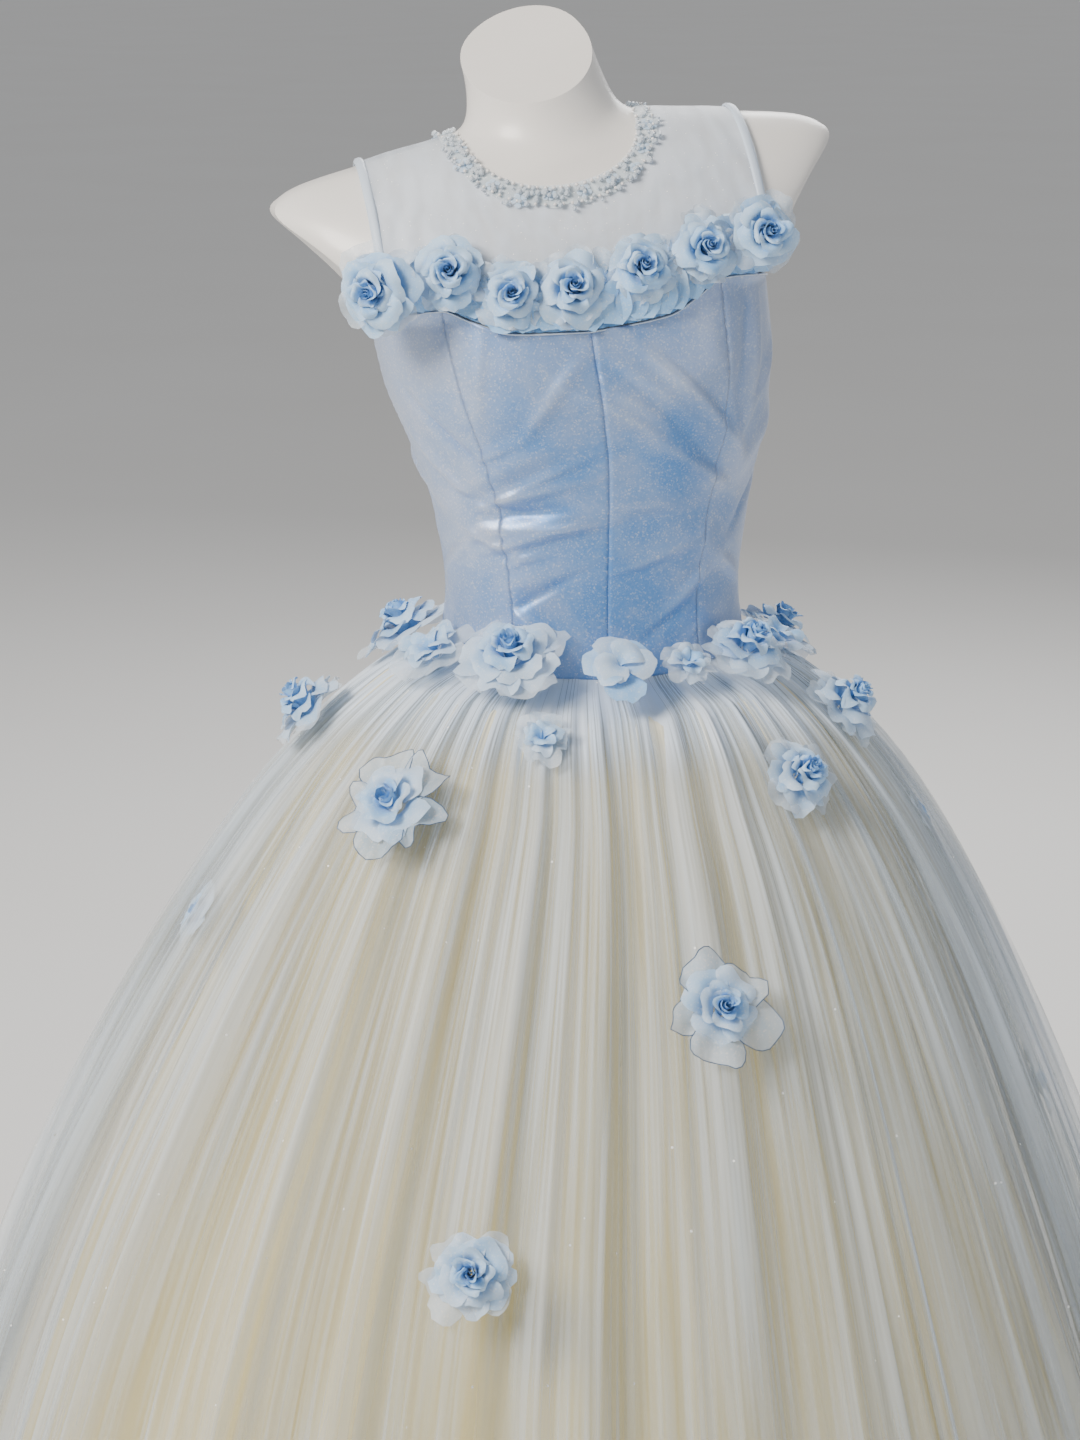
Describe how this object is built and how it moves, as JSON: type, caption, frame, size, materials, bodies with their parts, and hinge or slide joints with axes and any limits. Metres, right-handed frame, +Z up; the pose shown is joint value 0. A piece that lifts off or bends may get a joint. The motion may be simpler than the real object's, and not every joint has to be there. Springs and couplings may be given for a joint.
{
  "type": "prom dress on dress form",
  "caption": "Ball gown with a seamed satin bodice, sheer yoke, full gathered tulle skirt and fabric flowers, on a limbless dress form with a round stand.",
  "frame": {"origin": "on the floor under the middle of the hem", "axes": "+Z up, the front faces -Y, and +X is the wearer's left"},
  "size_m": [1.2635, 1.2654, 1.4689],
  "materials": {
    "form_shell": "smooth satin white",
    "stand_steel": "brushed",
    "satin_blue": "shimmering satin",
    "yoke_sheer": "sheer organza",
    "binding_satin": "satin",
    "beaded_net": "beaded net",
    "tulle_outer": "fine net",
    "tulle_under": "fine net",
    "lining_champagne": "soft satin",
    "petal_fabric": "crisp organza"
  },
  "bodies": {
    "root": {"back_flap": "satin_blue", "binding_left": "binding_satin", "binding_right": "binding_satin", "bodice_centre_back_left": "satin_blue", "bodice_centre_back_right": "satin_blue", "bodice_centre_front_left": "satin_blue", "bodice_centre_front_right": "satin_blue", "bodice_side_back_left": "satin_blue", "bodice_side_back_right": "satin_blue", "bodice_side_front_left": "satin_blue", "bodice_side_front_right": "satin_blue", "flower_skirt_1": "petal_fabric", "flower_skirt_2": "petal_fabric", "flower_skirt_3": "petal_fabric", "flower_skirt_4": "petal_fabric", "flower_skirt_5": "petal_fabric", "flower_skirt_6": "petal_fabric", "flower_veiled_1": "petal_fabric", "flower_veiled_2": "petal_fabric", "flower_veiled_3": "petal_fabric", "flower_waist_1": "petal_fabric", "flower_waist_2": "petal_fabric", "flower_waist_3": "petal_fabric", "flower_waist_4": "petal_fabric", "flower_waist_5": "petal_fabric", "flower_waist_6": "petal_fabric", "flower_waist_7": "petal_fabric", "flower_waist_8": "petal_fabric", "flower_waist_9": "petal_fabric", "form_base": "stand_steel", "form_pole": "stand_steel", "form_torso": "form_shell", "neck_band": "beaded_net", "rose_band": "petal_fabric", "rose_neck_1": "petal_fabric", "rose_neck_2": "petal_fabric", "rose_neck_3": "petal_fabric", "rose_neck_4": "petal_fabric", "rose_neck_5": "petal_fabric", "rose_neck_6": "petal_fabric", "rose_neck_7": "petal_fabric", "skirt_lining_back_left": "lining_champagne", "skirt_lining_back_right": "lining_champagne", "skirt_lining_front": "lining_champagne", "skirt_tulle_top_back_left": "tulle_outer", "skirt_tulle_top_back_right": "tulle_outer", "skirt_tulle_top_front": "tulle_outer", "skirt_tulle_under_back_left": "tulle_under", "skirt_tulle_under_back_right": "tulle_under", "skirt_tulle_under_front": "tulle_under", "yoke_back_left": "yoke_sheer", "yoke_back_right": "yoke_sheer", "yoke_front": "yoke_sheer"}
  },
  "joints": []
}
